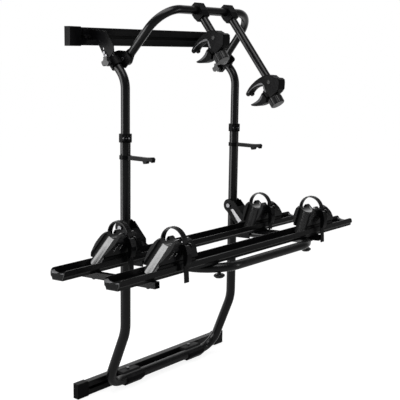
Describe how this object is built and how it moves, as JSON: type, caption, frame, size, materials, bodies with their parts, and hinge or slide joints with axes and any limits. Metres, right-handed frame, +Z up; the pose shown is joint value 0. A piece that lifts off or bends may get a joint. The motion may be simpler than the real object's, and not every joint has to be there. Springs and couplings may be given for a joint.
{
  "type": "van rear door bike rack",
  "caption": "Van rear door carrier for bicycles: door rails, telescoping tube frame, folding platform with wheel rails, strapped wheel holders, tilting hoop with clamp arms.",
  "frame": {"origin": "middle of the lower rail's rear face, where it lies on the door", "axes": "+Y into the van, -Y away from the door, +Z up, +X to the right as seen from behind the van"},
  "size_m": [1.252, 0.5853, 1.3681],
  "materials": {
    "black_anodised_aluminium": "satin black",
    "black_powder_coated_tube": "semi-gloss powder coat",
    "black_steel_sheet": "semi-gloss powder coat",
    "aluminium": "mill",
    "black_moulded_plastic": "fine grain",
    "black_knob_plastic": "moulded",
    "grey_jaw_plastic": "moulded, rubbed",
    "zinc_fasteners": "zinc plated",
    "gloss_holder_plastic": "polished moulding",
    "strap_plastic": "ribbed"
  },
  "bodies": {
    "root": {"bottom_rail": "black_anodised_aluminium", "bottom_rail_caps": "black_moulded_plastic", "lower_tube_left": "black_powder_coated_tube", "lower_tube_right": "black_powder_coated_tube", "tube_sleeve": "aluminium", "bottom_clamp_left": "black_moulded_plastic", "bottom_clamp_right": "black_moulded_plastic", "tube_collar_left": "black_moulded_plastic", "tube_collar_right": "black_moulded_plastic", "hook_bracket_left": "black_steel_sheet", "hook_bracket_right": "black_steel_sheet", "frame_bolts": "zinc_fasteners", "fold_pivot_bolts": "zinc_fasteners"},
    "upper_frame": {"upper_tube_left": "black_powder_coated_tube", "upper_tube_right": "black_powder_coated_tube", "rail_bracket_left": "black_steel_sheet", "rail_bracket_right": "black_steel_sheet", "bracket_bolts": "zinc_fasteners", "top_rail": "black_anodised_aluminium", "top_rail_caps": "black_moulded_plastic", "hoop_clamp_left": "black_moulded_plastic", "hoop_clamp_right": "black_moulded_plastic", "hoop_pivot_bolts": "zinc_fasteners"},
    "hoop_frame": {"hoop": "black_powder_coated_tube"},
    "platform": {"platform_tube": "black_powder_coated_tube", "strut_left": "black_steel_sheet", "strut_right": "black_steel_sheet", "crossbar_left": "black_anodised_aluminium", "crossbar_right": "black_anodised_aluminium", "wheel_rail_inner": "black_anodised_aluminium", "wheel_rail_outer": "black_anodised_aluminium", "rail_end_caps": "black_moulded_plastic", "platform_bolts": "zinc_fasteners"},
    "arm_left": {"arm_clamp_left": "black_moulded_plastic", "arm_tube_left": "black_powder_coated_tube", "claw_body_left": "black_moulded_plastic"},
    "jaw_left": {"claw_jaw_left": "grey_jaw_plastic"},
    "claw_screw_left": {"claw_knob_left": "black_knob_plastic"},
    "wing_left": {"wing_knob_left": "black_knob_plastic"},
    "dish_left": {"dish_knob_left": "black_knob_plastic"},
    "arm_right": {"arm_clamp_right": "black_moulded_plastic", "arm_tube_right": "black_powder_coated_tube", "claw_body_right": "black_moulded_plastic"},
    "jaw_right": {"claw_jaw_right": "grey_jaw_plastic"},
    "claw_screw_right": {"claw_knob_right": "black_knob_plastic"},
    "wing_right": {"wing_knob_right": "black_knob_plastic"},
    "dish_right": {"dish_knob_right": "black_knob_plastic"},
    "holder_1": {"wheel_holder_1": "gloss_holder_plastic", "strap_1": "strap_plastic"},
    "lever_1": {"buckle_lever_1": "gloss_holder_plastic"},
    "holder_2": {"wheel_holder_2": "gloss_holder_plastic", "strap_2": "strap_plastic"},
    "lever_2": {"buckle_lever_2": "gloss_holder_plastic"},
    "holder_3": {"wheel_holder_3": "gloss_holder_plastic", "strap_3": "strap_plastic"},
    "lever_3": {"buckle_lever_3": "gloss_holder_plastic"},
    "holder_4": {"wheel_holder_4": "gloss_holder_plastic", "strap_4": "strap_plastic"},
    "lever_4": {"buckle_lever_4": "gloss_holder_plastic"}
  },
  "joints": [
    {"name": "height_slide", "type": "slide", "parent": "root", "child": "upper_frame", "axis": [0, 0, 1], "range_m": [-0.08, 0.1]},
    {"name": "hoop_tilt", "type": "hinge", "parent": "upper_frame", "child": "hoop_frame", "pos_m": [0, -0.1236, 1.1525], "axis": [1, 0, 0], "range_deg": [-30, 25]},
    {"name": "platform_fold", "type": "hinge", "parent": "root", "child": "platform", "pos_m": [0, -0.15, 0.593], "axis": [1, 0, 0], "range_deg": [-60, 0]},
    {"name": "arm_swing_left", "type": "hinge", "parent": "hoop_frame", "child": "arm_left", "pos_m": [-0.0605, -0.26343, 1.3145], "axis": [1, 0, 0], "range_deg": [-60, 25]},
    {"name": "jaw_pivot_left", "type": "hinge", "parent": "arm_left", "child": "jaw_left", "pos_m": [-0.0605, -0.34317, 1.2249], "axis": [1, 0, 0], "range_deg": [0, 10]},
    {"name": "claw_screw_turn_left", "type": "hinge", "parent": "arm_left", "child": "claw_screw_left", "pos_m": [-0.0605, -0.35617, 1.1729], "axis": [0, 0.5878, 0.809], "range_deg": [0, 600]},
    {"name": "wing_turn_left", "type": "hinge", "parent": "upper_frame", "child": "wing_left", "pos_m": [-0.3288, -0.0992, 1.14247], "axis": [1, 0, 0], "continuous": true},
    {"name": "dish_turn_left", "type": "hinge", "parent": "platform", "child": "dish_left", "pos_m": [-0.2475, -0.52137, 0.51099], "axis": [0, 0.0645, 0.9979], "continuous": true},
    {"name": "arm_swing_right", "type": "hinge", "parent": "hoop_frame", "child": "arm_right", "pos_m": [0.0955, -0.26343, 1.3145], "axis": [1, 0, 0], "range_deg": [-60, 25]},
    {"name": "jaw_pivot_right", "type": "hinge", "parent": "arm_right", "child": "jaw_right", "pos_m": [0.0955, -0.4596, 1.08113], "axis": [1, 0, 0], "range_deg": [0, 10]},
    {"name": "claw_screw_turn_right", "type": "hinge", "parent": "arm_right", "child": "claw_screw_right", "pos_m": [0.0955, -0.4726, 1.02913], "axis": [0, 0.5878, 0.809], "range_deg": [0, 600]},
    {"name": "wing_turn_right", "type": "hinge", "parent": "upper_frame", "child": "wing_right", "pos_m": [0.2722, -0.0757, 1.11782], "axis": [1, 0, 0], "continuous": true},
    {"name": "dish_turn_right", "type": "hinge", "parent": "platform", "child": "dish_right", "pos_m": [0.2475, -0.52137, 0.51099], "axis": [0, 0.0645, 0.9979], "continuous": true},
    {"name": "holder_slide_1", "type": "slide", "parent": "platform", "child": "holder_1", "axis": [1, 0, 0], "range_m": [-0.085, 0.1]},
    {"name": "lever_lift_1", "type": "hinge", "parent": "holder_1", "child": "lever_1", "pos_m": [-0.428, -0.31333, 0.59775], "axis": [1, 0, 0], "range_deg": [-70, 0]},
    {"name": "holder_slide_2", "type": "slide", "parent": "platform", "child": "holder_2", "axis": [1, 0, 0], "range_m": [-0.085, 0.1]},
    {"name": "lever_lift_2", "type": "hinge", "parent": "holder_2", "child": "lever_2", "pos_m": [-0.428, -0.54385, 0.61266], "axis": [1, 0, 0], "range_deg": [-70, 0]},
    {"name": "holder_slide_3", "type": "slide", "parent": "platform", "child": "holder_3", "axis": [1, 0, 0], "range_m": [-0.1, 0.1]},
    {"name": "lever_lift_3", "type": "hinge", "parent": "holder_3", "child": "lever_3", "pos_m": [0.323, -0.31333, 0.59775], "axis": [1, 0, 0], "range_deg": [-70, 0]},
    {"name": "holder_slide_4", "type": "slide", "parent": "platform", "child": "holder_4", "axis": [1, 0, 0], "range_m": [-0.05, 0.1]},
    {"name": "lever_lift_4", "type": "hinge", "parent": "holder_4", "child": "lever_4", "pos_m": [0.323, -0.54385, 0.61266], "axis": [1, 0, 0], "range_deg": [-70, 0]}
  ],
  "couplings": [
    {"joint": "jaw_pivot_left", "follows": "claw_screw_turn_left", "ratio": 0.016667},
    {"joint": "jaw_pivot_right", "follows": "claw_screw_turn_right", "ratio": 0.016667}
  ]
}
